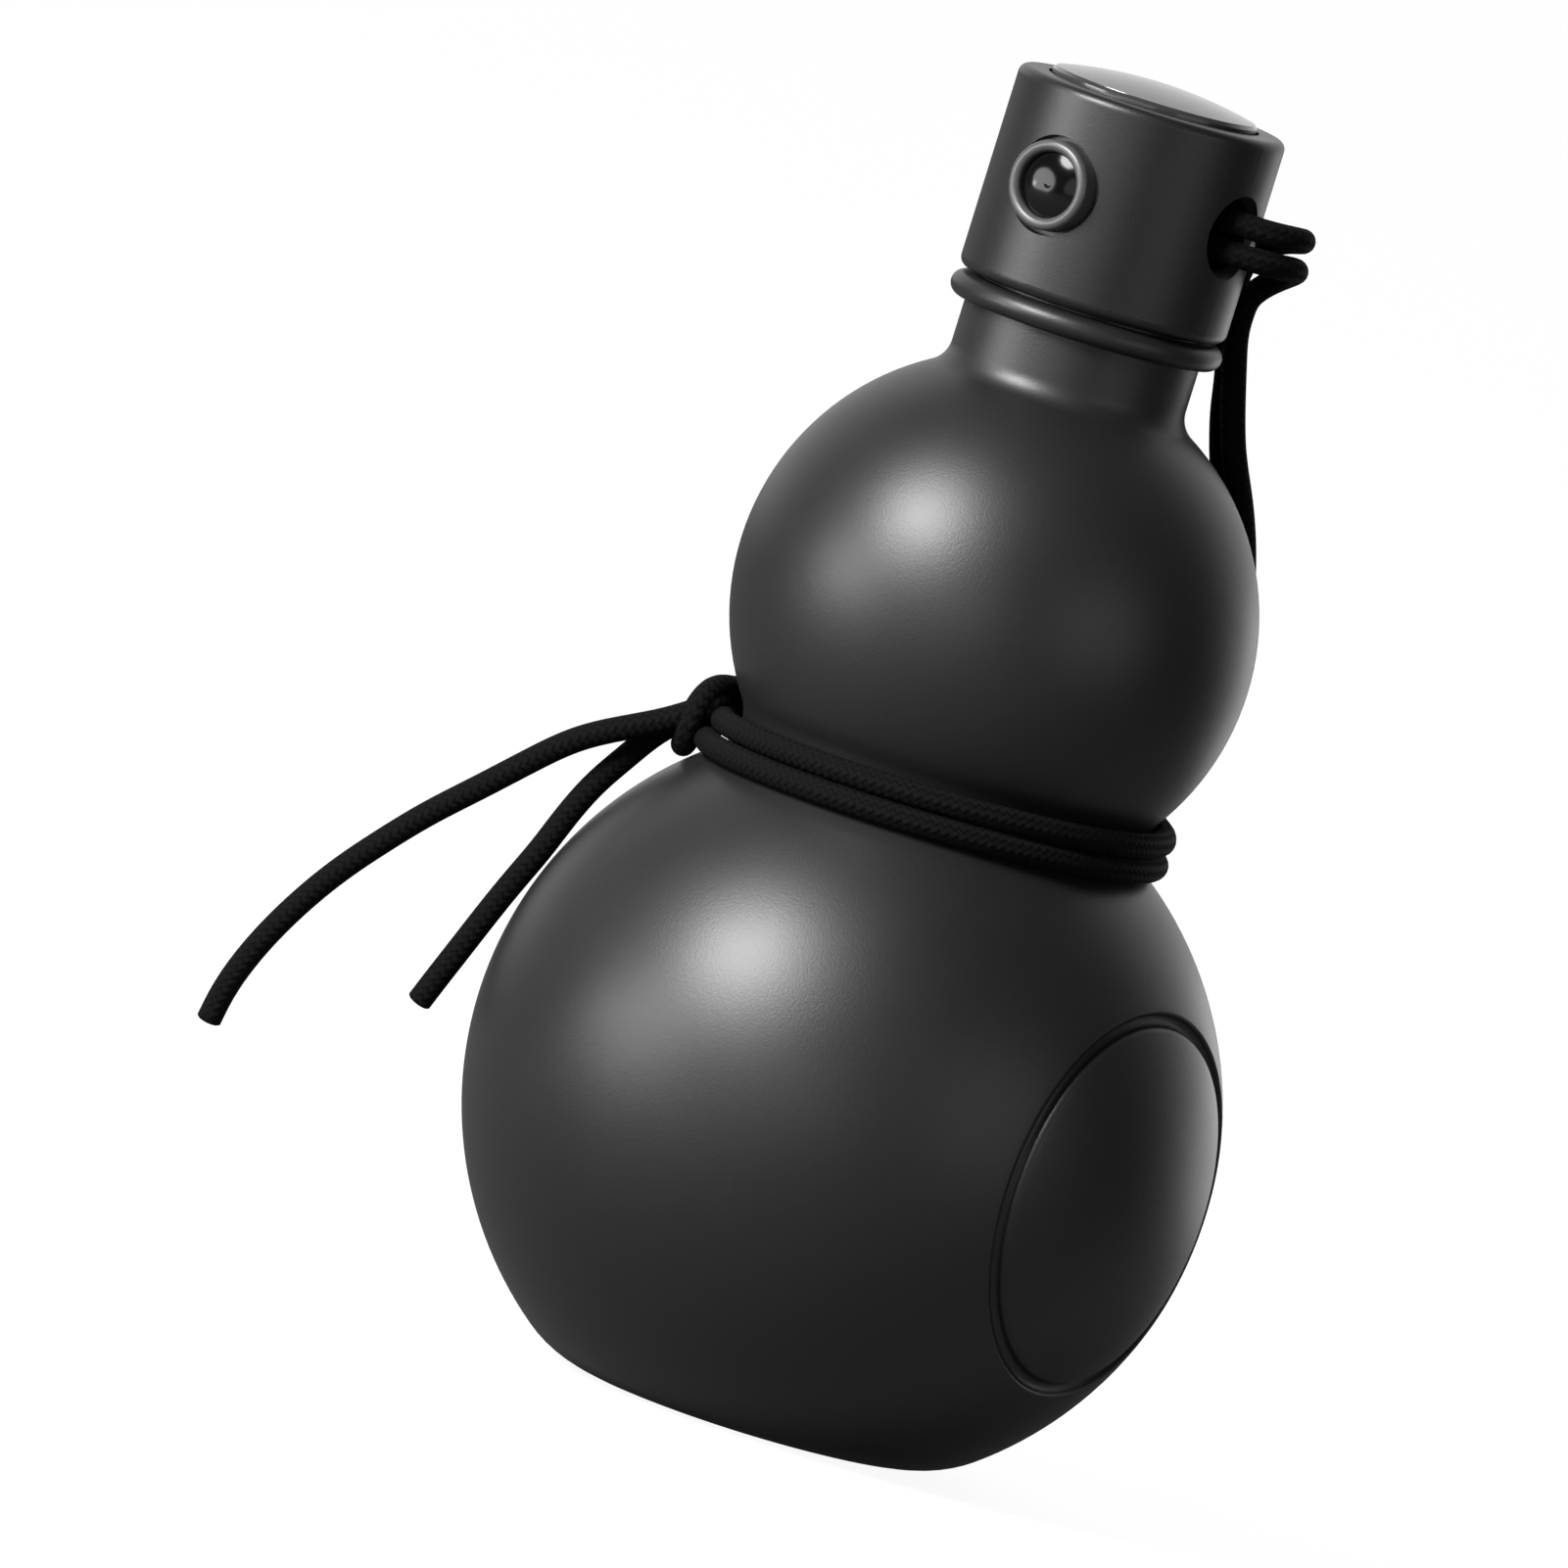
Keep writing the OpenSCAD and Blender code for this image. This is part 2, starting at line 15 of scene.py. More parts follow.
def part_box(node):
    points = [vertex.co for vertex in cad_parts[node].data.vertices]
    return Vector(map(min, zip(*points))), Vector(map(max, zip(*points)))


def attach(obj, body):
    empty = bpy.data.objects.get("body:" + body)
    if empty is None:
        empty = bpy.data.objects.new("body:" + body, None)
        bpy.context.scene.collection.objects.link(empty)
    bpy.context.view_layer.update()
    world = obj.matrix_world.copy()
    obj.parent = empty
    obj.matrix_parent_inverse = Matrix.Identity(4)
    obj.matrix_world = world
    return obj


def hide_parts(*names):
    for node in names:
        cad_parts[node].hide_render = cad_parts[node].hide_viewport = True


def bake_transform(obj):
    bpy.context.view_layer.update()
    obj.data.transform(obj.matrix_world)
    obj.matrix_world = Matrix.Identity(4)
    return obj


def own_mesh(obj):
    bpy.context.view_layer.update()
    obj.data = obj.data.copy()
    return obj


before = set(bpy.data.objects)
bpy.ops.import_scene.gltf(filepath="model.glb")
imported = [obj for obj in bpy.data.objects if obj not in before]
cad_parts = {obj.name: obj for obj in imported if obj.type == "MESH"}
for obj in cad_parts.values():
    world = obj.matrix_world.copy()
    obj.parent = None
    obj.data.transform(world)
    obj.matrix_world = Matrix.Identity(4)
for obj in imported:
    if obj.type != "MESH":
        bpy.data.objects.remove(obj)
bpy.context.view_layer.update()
MM = 0.001

# %% [markdown]
# ## The camera
#
# The picture was taken with a long lens from a little above the bottle's middle, with the camera
# turned 17 degrees on its own axis, so that the bottle leans in the picture. The camera is placed
# from three directions: towards the camera, and the picture's right and up before that turn. The
# place of the lower ball in the picture then gives the point that it looks at.

# %% Camera
AZIMUTH, ELEVATION, ROLL = np.radians([32.0, 5.5, 17.25])
FRAME_PX = 1601
MM_PER_PX = 0.11574
CAMERA_FAR = 5.0
SENSOR_MM = 36.0

toward = np.array([np.sin(AZIMUTH) * np.cos(ELEVATION), -np.cos(AZIMUTH) * np.cos(ELEVATION),
                   np.sin(ELEVATION)])
level_right = np.array([np.cos(AZIMUTH), np.sin(AZIMUTH), 0.0])
level_up = np.cross(toward, level_right)
right = level_right * np.cos(ROLL) + level_up * np.sin(ROLL)
up = np.cross(toward, right)

# The middle of the lower ball lies at this place in the picture, from its upper left corner
LOWER_Z = 38.6
BALL_MIDDLE = np.array([0, 0, LOWER_Z]) * MM
BALL_PX = (859.9, 1128.4)
off_right = (BALL_PX[0] - FRAME_PX / 2) * MM_PER_PX * MM
off_down = (BALL_PX[1] - FRAME_PX / 2) * MM_PER_PX * MM
aim = BALL_MIDDLE - off_right * right + off_down * up

camera_data = bpy.data.cameras.new("camera")
camera_data.sensor_width = SENSOR_MM
camera_data.lens = SENSOR_MM * CAMERA_FAR / (FRAME_PX * MM_PER_PX * MM)
camera_data.clip_start = 0.1
camera_data.clip_end = 60
camera = bpy.data.objects.new("camera", camera_data)
bpy.context.scene.collection.objects.link(camera)
turn = Matrix([list(right), list(up), list(toward)]).transposed().to_4x4()
camera.matrix_world = Matrix.Translation(Vector(aim + toward * CAMERA_FAR)) @ turn
bpy.context.scene.camera = camera
print("lens of", round(camera_data.lens), "mm, aimed at", [round(v, 4) for v in aim])

# %% [markdown]
# ## Lines that the cord follows
#
# A cord is a round tube along a smooth line. The line is a natural cubic spline through chosen
# points, and it is cut again into equal steps so that the braid keeps its scale all along.

# %% Smooth lines
STEP_MM = 0.4


def smooth_line(points, step=STEP_MM):
    """Points in mm -> a line with equal steps in mm.

    Each coordinate is a natural cubic spline of the chord length t. Between two points it is
    A*p0 + B*p1 + ((A^3 - A)*m0 + (B^3 - B)*m1) * h^2 / 6, where A and B are the shares of the way
    and m the second derivatives, which one set of linear equations gives. The fine line has six
    points to a step, and is then read off at equal arc lengths.
    """
    p = np.asarray(points, float)
    h = np.linalg.norm(np.diff(p, axis=0), axis=1)
    t = np.concatenate([[0], np.cumsum(h)])
    n = len(p)
    equations = np.eye(n)
    inner = np.arange(1, n - 1)
    equations[inner, inner] = (h[:-1] + h[1:]) / 3
    equations[inner, inner - 1] = h[:-1] / 6
    equations[inner, inner + 1] = h[1:] / 6
    change_of_slope = np.zeros_like(p)
    change_of_slope[1:-1] = np.diff(np.diff(p, axis=0) / h[:, None], axis=0)
    m = np.linalg.solve(equations, change_of_slope)
    s = np.linspace(0, t[-1], int(t[-1] / step) * 6)
    k = np.clip(np.searchsorted(t, s, side="right") - 1, 0, n - 2)
    hk = h[k][:, None]
    B = ((s - t[k]) / h[k])[:, None]
    A = 1 - B
    fine = A * p[k] + B * p[k + 1] + ((A**3 - A) * m[k] + (B**3 - B) * m[k + 1]) * hk**2 / 6
    length = np.concatenate([[0], np.cumsum(np.linalg.norm(np.diff(fine, axis=0), axis=1))])
    even = np.linspace(0, length[-1], max(int(round(length[-1] / step)), 2) + 1)
    return np.stack([np.interp(even, length, fine[:, c]) for c in range(3)], axis=1)


def line_length(line):
    """The sum of the steps of a line."""
    return float(np.linalg.norm(np.diff(line, axis=0), axis=1).sum())


def around(azimuth, radius, height):
    """A point at an azimuth in degrees, counted from the button towards the cord hole."""
    a = np.radians(azimuth)
    return np.stack(np.broadcast_arrays(radius * np.sin(a), -radius * np.cos(a), height), axis=-1)


print("the cord's lines have a point every", STEP_MM, "mm")

# %% [markdown]
# ## The route of the cord
#
# One 3 mm cord is folded in two. Its fold lies round the button's shaft inside the cap. The upper
# strand runs down behind the bottle and round the back of the waist. The lower strand goes once and
# a half round the waist. A route is a list of chosen points, the same as in the solid model, and
# only the ring of the knot has points of its own. All of them make one line, which is then cut into
# the pieces that move with the cap, between the two, and with the waist. The cuts meet exactly.

# %% Route in the cap, the leads and the tie
LOCK_Z = 151.21
CORD_R = 1.5
LOOP_R = 3.8
STRAND_UP = 1.85
WAIST_X, WAIST_Z, WAIST_FILLET = 29.84, 78.72, 5.0
LOWER_R = 45.0

# Points beside the cap's hole as [x, y, height above the lock]
upper_turn = np.array([[17.7, 0.8, 1.8], [19.9, 3, 1.8], [20.7, 6, 1.8], [19.9, 9, 1.6],
                       [17.4, 12, 1.1], [13.8, 14.8, 0.2], [10.2, 16.6, -1.4], [8.1, 17.5, -3.4],
                       [7.4, 17.8, -5.2], [7.2, 17.9, -6.8]])
lower_turn = np.array([[17.7, 0.8, -1.8], [19.9, 3, -1.8], [20.7, 6, -1.8], [20.1, 9, -2],
                       [18, 12, -2.7], [14.8, 14.4, -4.2], [12, 15.6, -6.2], [10.8, 15.9, -7.8],
                       [10.5, 16, -9.4]])
# Points down the bottle and round its waist as [azimuth, radius, height]
upper_route = np.array([[158, 19.4, 142], [157, 20, 138.5], [156, 21.3, 134.5], [154.5, 22, 130],
                        [153, 22.9, 126], [156, 25.7, 121], [159, 29.4, 115], [161, 32.2, 108.5],
                        [161.5, 33.4, 101], [161.5, 33, 94], [161.5, 31.3, 87.5], [162, 29.4, 83.6],
                        [164, 28.3, 81.6], [168, 27.6, 80.8]])
lower_route = np.array([[146.7, 19.2, 139.5], [145.2, 19.8, 136], [143.2, 21, 131], [142.3, 22.6, 126],
                        [146, 25.6, 121], [151, 29.4, 115], [153.5, 32.2, 108.5], [154, 33.4, 101],
                        [154, 33, 94], [154, 31.3, 87.5], [153.5, 29.5, 83.7], [151, 28.5, 81.8],
                        [147, 27.8, 80.8], [140, 27.3, 80.3], [131, 27.1, 80.05]])
back_route = np.array([[181, 27.3, 80.4], [192, 27.3, 80.5], [204, 27.3, 80.6],
                       [217, 27.4, 80.8], [232, 27.5, 81], [247, 27.6, 81.2], [262, 27.8, 81.4],
                       [276, 28.1, 81.6]])


def seat_radius(z, s=CORD_R):
    """Radius where a strand of radius s touches the body at height z: beside the lower ball it is
    sqrt((R + s)^2 - (z - middle)^2), and in the waist the fillet's own circle, drawn in by s."""
    low = LOWER_Z + (LOWER_R + s) * (WAIST_Z - LOWER_Z) / (LOWER_R + WAIST_FILLET)
    ball = np.sqrt((LOWER_R + s) ** 2 - (z - LOWER_Z) ** 2)
    hollow = WAIST_X - np.sqrt(np.maximum((WAIST_FILLET - s) ** 2 - (z - WAIST_Z) ** 2, 0))
    return np.where(z < low, ball, hollow)


# The tie is a helix that winds downwards, and in its last quarter turn it nestles a little upwards
TIE_FROM, TIE_TO, TIE_POINTS = 122, -420, 72
TIE_FRONT, TIE_RISE, TIE_PITCH, TIE_NESTLE = 32, 0.3, 3.05, 0.35
TIE_R, TIE_GAP = 27, 0.02
tie_azimuth = np.linspace(TIE_FROM, TIE_TO, TIE_POINTS)
last_quarter = np.clip(TIE_TO + 90 - tie_azimuth, 0, None) / 90
tie_height = WAIST_Z + TIE_RISE + TIE_PITCH * (tie_azimuth - TIE_FRONT) / 360
tie_height = tie_height + TIE_NESTLE * last_quarter**2
tie_radius = np.maximum(TIE_R, seat_radius(tie_height) + TIE_GAP)

KNOT_A = 302


def by_knot(points):
    """Points as [radius, towards the camera, height] in the plane of the knot and the tails."""
    p = np.asarray(points, float)
    a = np.radians(KNOT_A)
    return around(KNOT_A, p[:, 0], p[:, 2]) + p[:, 1:2] * np.array([np.cos(a), np.sin(a), 0.0])


loop_turn = np.radians(np.linspace(90, 270, 9))
loop = np.stack([LOOP_R * np.cos(loop_turn), 0 * loop_turn, LOOP_R * np.sin(loop_turn)], axis=1)
spread = (STRAND_UP + LOOP_R) / 2 + 0.4
bight = np.concatenate([upper_turn[::-1],
                        [[14.7, 0, STRAND_UP], [9, 0, STRAND_UP + 0.3], [5, 0, spread]], loop,
                        [[5, 0, -spread], [9, 0, -STRAND_UP - 0.3], [14.7, 0, -STRAND_UP]],
                        lower_turn]) + [0, 0, LOCK_Z]

ring_end = by_knot([[26.9, -6.5, 81.4], [28.0, -3.6, 81.5], [29.1, -1.2, 81.1], [29.9, 0.8, 80.0],
                    [30.4, 1.9, 78.4], [30.6, 2.2, 76.6], [30.5, 1.2, 74.9], [30.6, -1.0, 73.9],
                    [30.4, -3.6, 74.2], [29.9, -4.9, 76.0], [29.2, -4.6, 77.6], [28.4, -3.4, 78.6]])
tie_end = by_knot([[28.2, -4.2, 75.6], [29.2, -5.2, 76.4]])

whole = smooth_line(np.concatenate([
    ring_end[::-1], around(*back_route[::-1].T), around(*upper_route[::-1].T), bight,
    around(*lower_route.T), around(tie_azimuth, tie_radius, tie_height), tie_end]))


def nearest(point, low=0, high=None):
    """The place on the whole line nearest to a point."""
    part = whole[low:high]
    return low + int(np.argmin(np.linalg.norm(part - np.asarray(point, float), axis=1)))


middle = nearest([-LOOP_R, 0, LOCK_Z])
cut_ring = nearest(around(288.0, 27.7, 81.0), 0, middle)
cut_back = nearest(around(170.0, 27.5, 80.6), 0, middle)
cut_upper = nearest(bight[0], 0, middle)
cut_lower = nearest(bight[-1], middle)
cut_tie = nearest(around(123.0, 27.1, 79.8), middle)
print("whole cord on the bottle:", round(line_length(whole)), "mm; loop, then tie at",
      [cut_ring, cut_back, cut_upper, cut_lower, cut_tie])

# %% [markdown]
# ## Tubes
#
# The tube's rings are set at right angles to the line. Their sideways direction is carried from ring
# to ring without twist, because the braid would otherwise wind up. Its UV map counts millimetres
# along the cord and turns round it, which is what the braid needs. A cut end closes with a few
# shrinking rings, and an end that meets another piece is closed by one flat face.

# %% Tube surface
def carried_frames(line):
    """Two unit vectors across the line at each point. Each is the last one, less its part along the
    new heading, which turns it as little as possible."""
    heading = np.gradient(line, axis=0)
    heading /= np.linalg.norm(heading, axis=1, keepdims=True)
    side = np.zeros_like(line)
    start = np.cross(heading[0], [0, 0, 1] if abs(heading[0][2]) < 0.9 else [1, 0, 0])
    side[0] = start / np.linalg.norm(start)
    for i in range(1, len(line)):
        v = side[i - 1] - heading[i] * (side[i - 1] @ heading[i])
        side[i] = v / np.linalg.norm(v)
    return heading, side, np.cross(heading, side)


def grid_mesh(name, points, uv_u=None, keep=None):
    """A mesh from a grid of points, rings by sides, whose sides close on themselves. A ring that has
    shrunk to a point is a pole, and merging by distance closes it. `keep` says which cells stay."""
    rings, sides = points.shape[:2]
    index = np.arange(rings * sides).reshape(rings, sides)
    beside = np.roll(index, -1, axis=1)
    quads = np.stack([index[:-1], beside[:-1], beside[1:], index[1:]], axis=-1)
    quads = quads[keep] if keep is not None else quads.reshape(-1, 4)
    mesh = bpy.data.meshes.new(name)
    mesh.vertices.add(rings * sides)
    mesh.vertices.foreach_set("co", (points * MM).reshape(-1))
    mesh.loops.add(quads.size)
    mesh.loops.foreach_set("vertex_index", quads.reshape(-1))
    mesh.polygons.add(len(quads))
    mesh.polygons.foreach_set("loop_start", np.arange(0, quads.size, 4))
    mesh.update(calc_edges=True)
    if uv_u is not None:
        columns = np.arange(sides)
        ends = np.stack([uv_u[:-1], uv_u[:-1], uv_u[1:], uv_u[1:]], axis=-1)
        u = np.repeat(ends[:, None], sides, axis=1)
        v = np.stack([columns, columns + 1, columns + 1, columns], axis=-1) / sides
        v = np.repeat(v[None], rings - 1, axis=0)
        layer = mesh.uv_layers.new(name="along_and_around")
        layer.data.foreach_set("uv", np.stack([u, v], axis=-1).reshape(-1))
    return mesh


def open_edges(mesh):
    """How many edges have one face only. None, on a closed skin."""
    edges = np.sort(np.array([pair for face in mesh.polygons for pair in face.edge_keys]), axis=1)
    return int((np.unique(edges, axis=0, return_counts=True)[1] == 1).sum())


def finished(name, mesh, more=()):
    """Puts meshes in the scene as one smooth piece at the origin, merges what meets, closes flat ends
    and turns the faces outwards."""
    work = bmesh.new()
    for part in (mesh, *more):
        work.from_mesh(part)
    bmesh.ops.remove_doubles(work, verts=work.verts, dist=1e-6)
    open_rims = [e for e in work.edges if e.is_boundary]
    if open_rims:
        bmesh.ops.holes_fill(work, edges=open_rims, sides=0)
    bmesh.ops.recalc_face_normals(work, faces=work.faces)
    work.to_mesh(mesh)
    work.free()
    mesh.polygons.foreach_set("use_smooth", np.full(len(mesh.polygons), True))
    piece = bpy.data.objects.new(name, mesh)
    bpy.context.scene.collection.objects.link(piece)
    return piece


# Rings that close a cut end: their share of the radius, and how far out they lie, in radii
END_SHRINK = np.array([0.9, 0.72, 0.4, 0.0])
END_REACH = np.array([0.1, 0.2, 0.27, 0.28])


def tube(name, line, radius, sides=20, cut_start=False, cut_end=False, start_mm=0.0):
    """A round tube: point = line + r * (cos a * side + sin a * other). A cut end adds rings whose
    radius falls to nothing over a quarter of the radius, as a melted cord end does."""
    heading, side, other = carried_frames(line)
    along = start_mm + np.concatenate([[0], np.cumsum(np.linalg.norm(np.diff(line, axis=0), axis=1))])
    radii = np.full(len(line), float(radius))
    shrunk, reach = radius * END_SHRINK, radius * END_REACH
    rings = len(reach)
    centre = line
    if cut_start:
        centre = np.concatenate([(line[0] - heading[0] * reach[:, None])[::-1], centre])
        radii = np.concatenate([shrunk[::-1], radii])
        along = np.concatenate([(along[0] - reach)[::-1], along])
        side = np.concatenate([np.repeat(side[:1], rings, axis=0), side])
        other = np.concatenate([np.repeat(other[:1], rings, axis=0), other])
    if cut_end:
        centre = np.concatenate([centre, line[-1] + heading[-1] * reach[:, None]])
        radii = np.concatenate([radii, shrunk])
        along = np.concatenate([along, along[-1] + reach])
        side = np.concatenate([side, np.repeat(side[-1:], rings, axis=0)])
        other = np.concatenate([other, np.repeat(other[-1:], rings, axis=0)])
    a = 2 * np.pi * np.arange(sides) / sides
    across = np.cos(a)[None, :, None] * side[:, None] + np.sin(a)[None, :, None] * other[:, None]
    points = centre[:, None] + radii[:, None, None] * across
    return finished(name, grid_mesh(name, points, along))


# %% [markdown]
# ## The cord's pieces
#
# The fold rides on the cap. The two leads join the cap to the tie. The tie, the knot and the tails
# ride on the waist.

# %% Fold, leads and tie
bight_piece = tube("cord_fold", whole[cut_upper:cut_lower + 1], CORD_R, start_mm=cut_upper * STEP_MM)
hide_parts("cord_bight")
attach(bight_piece, "cap")

upper_lead = tube("cord_upper_lead", whole[cut_back:cut_upper + 1], CORD_R, start_mm=cut_back * STEP_MM)
lower_lead = tube("cord_lower_lead", whole[cut_lower:cut_tie + 1], CORD_R, start_mm=cut_lower * STEP_MM)
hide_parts("upper_lead")
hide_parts("lower_lead")
for lead in (upper_lead, lower_lead):
    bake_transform(lead)

tie_piece = tube("cord_tie", whole[cut_tie:], CORD_R, start_mm=cut_tie * STEP_MM)
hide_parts("waist_tie")
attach(tie_piece, "tie_cord")
back_piece = tube("cord_back", whole[cut_ring:cut_back + 1], CORD_R, start_mm=cut_ring * STEP_MM)
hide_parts("back_tie")
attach(back_piece, "tie_cord")
ring_piece = tube("cord_knot", whole[:cut_ring + 1], CORD_R, cut_start=True)
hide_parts("knot")
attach(ring_piece, "tie_cord")
cord_pieces = [bight_piece, upper_lead, lower_lead, tie_piece, back_piece, ring_piece]
print([(piece.name, len(piece.data.polygons)) for piece in cord_pieces])

# %% [markdown]
# ## The tails
#
# Two bare ends hang from the knot. They are thin limp cord, so they leave it outwards and curve
# down under their own weight. Outside the knot their points are the same as in the solid model, and
# a root of a few points leads each one into the ring.

# %% Tails
long_route = [[33, 1.6, 76.5], [37.5, 1.5, 74], [42.5, 1.2, 71], [47.5, 0.8, 66.5],
              [52.5, 0.4, 61.5], [57, 0, 57], [61, 0, 52.5], [65, 0, 47.5], [68, 0, 43],
              [70.5, 0, 38.5], [72.5, 0, 34], [74, 0, 29], [74.5, 0, 26]]
short_route = [[33.2, -1.6, 75], [36.5, -1.4, 70.5], [39, -1, 66.5], [41.3, -0.5, 61.5],
               [43, 0, 57], [44.9, 0, 52.5], [46.9, 0, 47.5], [48.6, 0, 43], [50.3, 0, 38.5],
               [51.4, 0, 35.5]]
long_root = [[26.5, -6.4, 79.5], [28.0, -2.6, 79.7], [28.9, 0.4, 79.2], [30.6, 1.6, 78.1]]
short_root = [[28.4, -1.6, 77.8], [30.9, -1.7, 76.8]]

tails = (("tail_long", long_root, long_route), ("tail_short", short_root, short_route))
for name, root, route in tails:
    line = smooth_line(by_knot(root + route))
    tail = tube("cord_" + name, line, CORD_R, cut_start=True, cut_end=True)
    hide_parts(name)
    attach(tail, "tie_cord")
    cord_pieces.append(tail)

# %% [markdown]
# ## The body's skin
#
# The body is blow moulded in one piece, so its edges are soft, and the round recess has a smooth
# panel inside a half-round groove. It could be cut with a boolean, but that leaves sharp rims. Here
# the skin is a revolved profile with a block of cells left out. A patch closes the block: its rings
# run from the block's border to a circle round the recess, and then along the recess's own profile.
# The photograph shows the panel nearly flush, so it lies less deep here than in the solid model.

# %% Profile of the body
UPPER_Z, UPPER_R = 99.4, 31.3
NECK_R, COLLAR_Z, LIP_Z, BORE = 14.45, 134.61, 139.51, 11.6
WALL = 2.0
BASE_Z, BASE_R, FLAT_R = -55.58, 57.08, 15.5
FOOT_X, FOOT_R = 18.5, 15.06
SHOULDER_R, SHOULDER_Z = 3.5, 129.21
INNER_SHOULDER_R, INNER_SHOULDER_Z = 5.5, 129.71
COLLAR_R, COLLAR_X, LIP_R, LIP_X = 1.5, 15.2, 0.3, 13.6
# Where the arcs meet, in degrees round their centres: foot and lower ball, lower ball and waist,
# waist and upper ball, upper ball and shoulder, shoulder inside, and base outside and inside
FOOT_A, LOW_A, HIGH_A, NECK_A, INNER_NECK_A = -51.8, 53.36, -34.72, 58.95, 240.57
BASE_A, INNER_BASE_A = 76.85, 77.05


FINE, COARSE = 1.5, 4


def arc(centre, radius, first, last, step=FINE):
    """Points of an arc, from one angle in degrees to another: centre + radius * (cos a, sin a). The
    steps are at most `step` mm long and at most 5 degrees."""
    turn = abs(last - first)
    count = int(np.ceil(max(turn / 5, np.radians(turn) * radius / step, 1)))
    a = np.radians(np.linspace(first, last, count + 1))
    return np.stack([centre[0] + radius * np.cos(a), centre[1] + radius * np.sin(a)], axis=1)


def body_profile():
    """The half section as points (radius, height), from the middle of the base up the outside, over
    the lip and down the inside. Also the index where the lower ball's arc starts and ends."""
    waist = WAIST_X, WAIST_Z
    foot = np.concatenate([arc((0, BASE_Z), BASE_R, 90, BASE_A), [[FLAT_R, 0]],
                           arc((FOOT_X, FOOT_R), FOOT_R, -90, FOOT_A)])
    ball = arc((0, LOWER_Z), LOWER_R, FOOT_A, LOW_A)[1:]
    upper = np.concatenate([
        arc(waist, WAIST_FILLET, 180 + LOW_A, 180 + HIGH_A)[1:],
        arc((0, UPPER_Z), UPPER_R, HIGH_A, NECK_A)[1:],
        arc((NECK_R + SHOULDER_R, SHOULDER_Z), SHOULDER_R, 180 + NECK_A, 180)[1:],
        [[NECK_R, COLLAR_Z]],
        arc((COLLAR_X, COLLAR_Z + COLLAR_R), COLLAR_R, -90, 90),
        [[LIP_X, COLLAR_Z + 2 * COLLAR_R]],
        arc((LIP_X - LIP_R, LIP_Z - LIP_R), LIP_R, 0, 90),
        arc((BORE + LIP_R, LIP_Z - LIP_R), LIP_R, 90, 180)])
    inside = np.concatenate([
        arc((BORE + INNER_SHOULDER_R, INNER_SHOULDER_Z), INNER_SHOULDER_R, 180, INNER_NECK_A, COARSE),
        arc((0, UPPER_Z), UPPER_R - WALL, NECK_A, HIGH_A, COARSE)[1:],
        arc(waist, WAIST_FILLET + WALL, 180 + HIGH_A, 180 + LOW_A, COARSE)[1:],
        arc((0, LOWER_Z), LOWER_R - WALL, LOW_A, FOOT_A, COARSE)[1:],
        arc((FOOT_X, FOOT_R), FOOT_R - WALL, FOOT_A, -90, COARSE)[1:],
        arc((0, BASE_Z), BASE_R + WALL, INNER_BASE_A, 90, COARSE)])
    ball_from = len(foot) - 1
    return np.concatenate([foot, ball, upper, inside]), ball_from, ball_from + len(ball)


# %% Recess profile
RECESS_TURN = 2.0
GROOVE_R, GROOVE_RING, GROOVE_DEPTH, PANEL_R = 0.8, 22.8, 1.2, 44.7
GROOVE_FAR = LOWER_R - GROOVE_DEPTH + GROOVE_R
OUTER_EDGE, INNER_EDGE = 0.35, 1.0


def recess_profile():
    """Points (angle from the recess's axis, distance from the ball's middle), from the ball inwards.
    Between two circles an edge is a small arc of radius e. Its centre lies e inside the ball and e
    outside the groove, which the cosine rule places, and it touches both."""
    groove = np.array([GROOVE_RING, np.sqrt(GROOVE_FAR**2 - GROOVE_RING**2)])
    lean = np.arctan2(groove[0], groove[1])
    curves = []
    for skin, side, edge in ((LOWER_R, 1, OUTER_EDGE), (PANEL_R, -1, INNER_EDGE)):
        d = skin - edge
        apart = np.arccos((d**2 + GROOVE_FAR**2 - (GROOVE_R + edge) ** 2) / (2 * d * GROOVE_FAR))
        middle_at = d * np.array([np.sin(lean + side * apart), np.cos(lean + side * apart)])
        out = middle_at / d
        inward = (groove - middle_at) / np.linalg.norm(groove - middle_at)
        share = np.linspace(0, 1, 6)[:, None]
        bend = out * (1 - share) + inward * share
        curves.append(middle_at + edge * bend / np.linalg.norm(bend, axis=1, keepdims=True))
    start = np.arctan2(*(curves[0][-1] - groove)[::-1])
    stop = np.arctan2(*(curves[1][-1] - groove)[::-1])
    a = np.linspace(start, stop - (2 * np.pi if stop > start else 0), 15)[1:-1]
    floor = groove + GROOVE_R * np.stack([np.cos(a), np.sin(a)], axis=1)
    section = np.concatenate([curves[0], floor, curves[1][::-1]])
    angle = np.arctan2(section[:, 0], section[:, 1])
    rest = np.linspace(angle[-1], 0, 22)[1:]
    return (np.concatenate([angle, rest]),
            np.concatenate([np.linalg.norm(section, axis=1), np.full(len(rest), PANEL_R)]))


# %% Body mesh
# Cells round the body, and the half size of the block left out: in cells and in degrees up the ball
SEGMENTS, BLOCK, BLOCK_LIFT = 192, 22, 41


